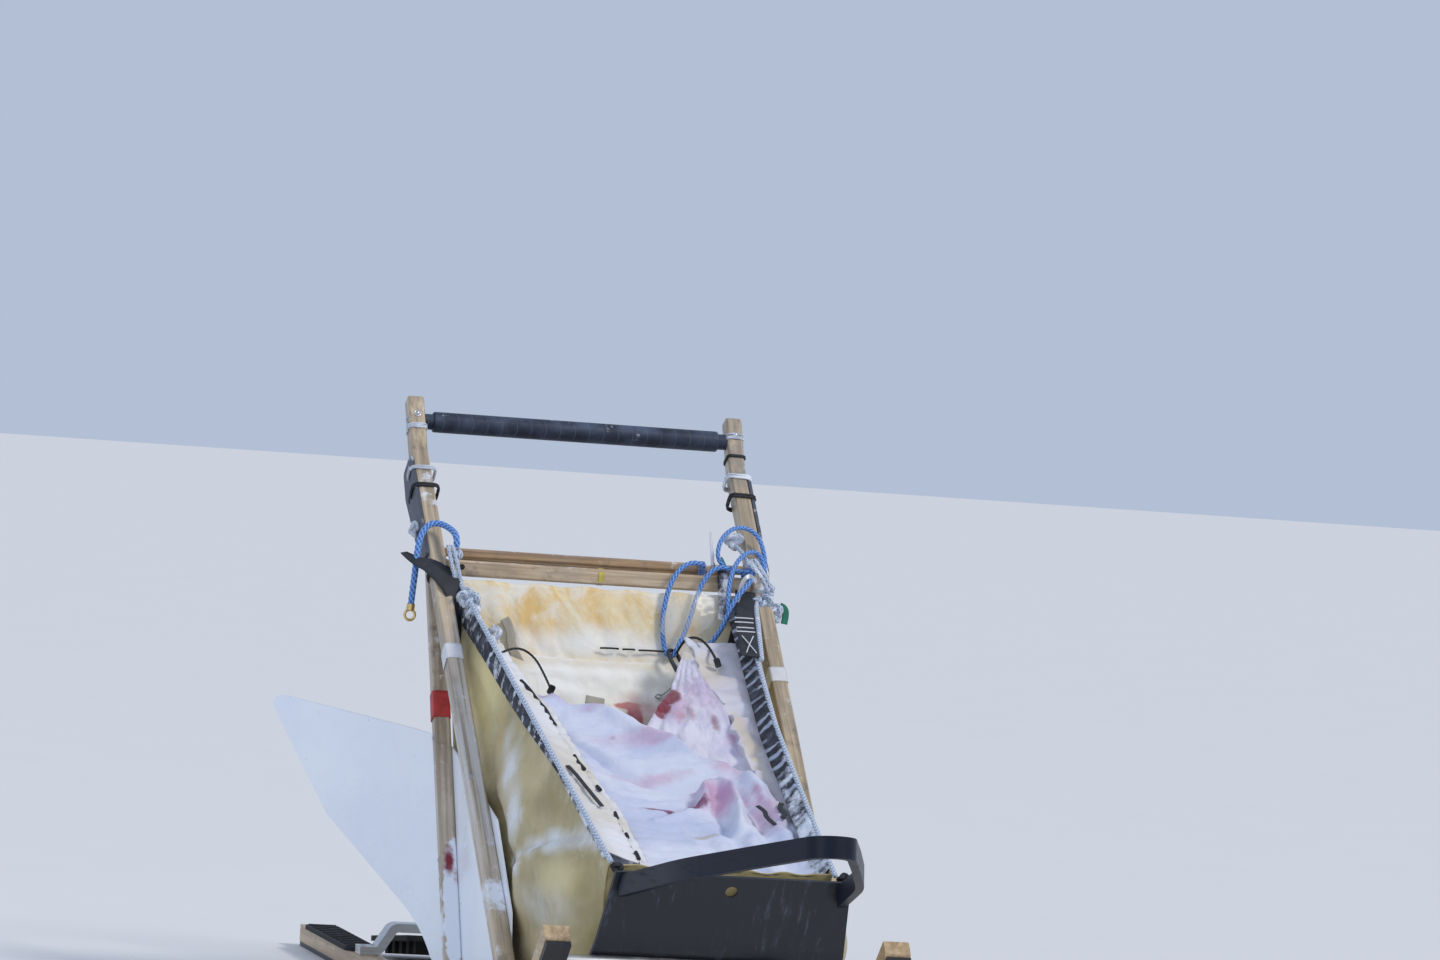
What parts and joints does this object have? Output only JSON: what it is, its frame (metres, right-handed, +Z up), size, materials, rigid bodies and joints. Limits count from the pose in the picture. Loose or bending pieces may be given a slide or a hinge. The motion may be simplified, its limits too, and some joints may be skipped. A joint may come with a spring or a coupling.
{
  "type": "dog sled",
  "caption": "Toboggan-style dog sled with wooden runners and legs, a cloth bag, a curved plastic bed and nose, brush bow, spring brake and drag mat.",
  "frame": {"origin": "on the ground, under the middle of the whole sled's box, the side sign plate included", "axes": "+Z up, -Y towards the nose, +X towards the sled's own left side; its length runs along Y"},
  "size_m": [0.7464, 2.298, 0.9416],
  "materials": {
    "runner_ash": "varnished ash, worn",
    "leg_ash": "varnished ash with a yellow tone, frosted",
    "crosspiece_wood": "varnished wood, orange tone",
    "shoe_plastic": "hard runner plastic",
    "tread_rubber": "ribbed rubber",
    "bed_plastic": "hard black sheet plastic, scuffed",
    "bow_plastic": "hard black plastic strip",
    "bridge_metal": "bent bar, brushed",
    "grip_rubber": "wrapped rubber grip",
    "plate_plastic": "dark sheet plastic, frosted",
    "bag_cloth": "coated yellow cloth, frosted",
    "flap_cloth": "white cloth with faint stains",
    "webbing": "black ladder webbing",
    "rope": "pale blue and white braided rope",
    "blue_rope": "braided blue rope, frosted",
    "clip_metal": "dark coated metal",
    "ring_brass": "small brass ring",
    "sign_plastic": "blank white sheet",
    "brake_steel": "welded steel",
    "mat_rubber": "rubber track sheet with cross lugs"
  },
  "bodies": {
    "sled": {"runner_left": "runner_ash", "runner_right": "runner_ash", "runner_shoe_left": "shoe_plastic", "runner_shoe_right": "shoe_plastic", "foot_tread_left": "tread_rubber", "foot_tread_right": "tread_rubber", "bed": "bed_plastic", "nose_bar": "bridge_metal", "bridge_front": "bridge_metal", "bridge_middle": "bridge_metal", "bridge_rear": "bridge_metal", "bridge_tail": "bridge_metal", "leg_left": "leg_ash", "leg_right": "leg_ash", "stanchion_left": "leg_ash", "stanchion_right": "leg_ash", "handlebar": "grip_rubber", "upper_crosspiece": "crosspiece_wood", "lower_crosspiece": "crosspiece_wood", "back_plate_left": "plate_plastic", "back_plate_right": "plate_plastic", "bag": "bag_cloth", "webbing_left": "webbing", "webbing_right": "webbing", "rim_rope_left": "rope", "rim_rope_right": "rope", "cover_flap": "flap_cloth", "side_flap_right": "flap_cloth", "side_flap_left": "flap_cloth", "brush_bow": "bow_plastic", "sign_plate": "sign_plastic", "snub_knot_left": "blue_rope", "tie_knot_right": "rope", "snub_band_left": "blue_rope", "snub_rope_left": "blue_rope", "clip_rope_left": "blue_rope", "tie_rope_right": "blue_rope", "carabiner": "clip_metal", "rope_clip": "clip_metal", "tie_ring": "ring_brass"},
    "brake": {"brake": "brake_steel"},
    "drag_mat": {"drag_mat": "mat_rubber"}
  },
  "joints": [
    {"name": "brake_hinge", "type": "hinge", "parent": "sled", "child": "brake", "pos_m": [0.09412, 0.16903, 0.076], "axis": [-1, 0, 0], "range_deg": [0, 14], "stiffness_Nm_per_rad": 40, "springref_deg": -14.32},
    {"name": "mat_hinge", "type": "hinge", "parent": "sled", "child": "drag_mat", "pos_m": [0.09412, 0.72103, 0.062], "axis": [1, 0, 0], "range_deg": [0, 80]}
  ]
}
